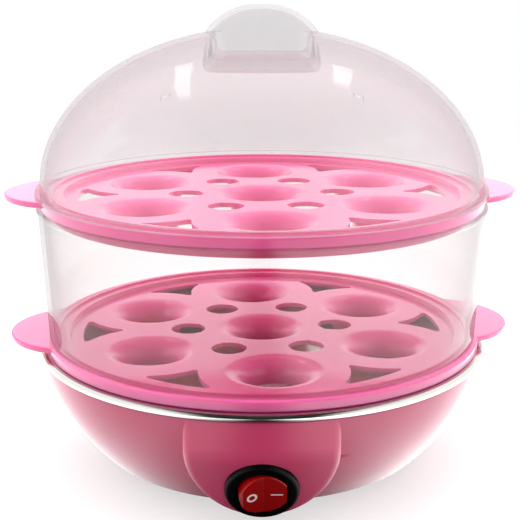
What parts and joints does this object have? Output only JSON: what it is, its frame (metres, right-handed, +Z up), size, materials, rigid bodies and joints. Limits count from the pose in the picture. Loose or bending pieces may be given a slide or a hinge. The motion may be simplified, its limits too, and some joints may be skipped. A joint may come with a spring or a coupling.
{
  "type": "electric egg boiler",
  "caption": "Tiered electric egg boiler: bowl base with a round rocker switch, steel heating dish, cupped egg trays, clear wall and domed lid.",
  "frame": {"origin": "middle of the footprint on the table, under the axis of the bowl", "axes": "+Z up along the axis of bowl, trays and lid; the switch faces -Y; the tray ears lie along X"},
  "size_m": [0.1818, 0.1614, 0.1601],
  "materials": {
    "pink_plastic": "glossy injection-moulded PP",
    "tray_plastic": "glossy, slightly translucent PP",
    "clear_plastic": "clear moulded polystyrene",
    "milky_plastic": "clear plastic with a milky cast",
    "dish_steel": "polished pressed stainless sheet",
    "black_plastic": "semi-gloss moulded nylon",
    "red_plastic": "glossy translucent red",
    "lamp_glass": "clear bulb",
    "contact_brass": "plain",
    "block_plastic": "matt moulded",
    "plated_steel": "bright zinc plate",
    "heater_aluminium": "cast and drawn, plain",
    "seal_rubber": "matt silicone",
    "white_ceramic": "matt glazed"
  },
  "bodies": {
    "root": {"base_cover": "pink_plastic", "base_housing": "pink_plastic", "block_screws": "contact_brass", "cord_gland": "black_plastic", "cover_screws": "plated_steel", "dish_seal": "seal_rubber", "dish_studs": "plated_steel", "element_end_seals": "white_ceramic", "element_pins": "plated_steel", "fuse_clip": "plated_steel", "heat_spreader": "heater_aluminium", "heater_element": "heater_aluminium", "heater_screws": "plated_steel", "heating_dish": "dish_steel", "stud_nuts": "plated_steel", "stud_washers": "plated_steel", "switch_body": "black_plastic", "switch_lamp": "lamp_glass", "switch_terminals": "contact_brass", "terminal_block": "block_plastic", "thermal_fuse": "white_ceramic", "thermostat": "black_plastic", "thermostat_strap": "plated_steel"},
    "rocker": {"switch_rocker": "red_plastic"},
    "lower_tier": {"lower_tray": "tray_plastic"},
    "wall": {"clear_wall": "clear_plastic"},
    "upper_tier": {"upper_tray": "tray_plastic"},
    "lid": {"dome_lid": "milky_plastic"}
  },
  "joints": [
    {"name": "switch_press", "type": "hinge", "parent": "root", "child": "rocker", "pos_m": [0, -0.07291, 0.01596], "axis": [0, 0.3746, -0.9272], "range_deg": [0, 20]},
    {"name": "lower_tray_lift", "type": "slide", "parent": "root", "child": "lower_tier", "axis": [0, 0, 1], "range_m": [0, 0.04]},
    {"name": "wall_lift", "type": "slide", "parent": "lower_tier", "child": "wall", "axis": [0, 0, 1], "range_m": [0, 0.06]},
    {"name": "upper_tray_lift", "type": "slide", "parent": "wall", "child": "upper_tier", "axis": [0, 0, 1], "range_m": [0, 0.03]},
    {"name": "lid_lift", "type": "slide", "parent": "upper_tier", "child": "lid", "axis": [0, 0, 1], "range_m": [0, 0.08]}
  ]
}
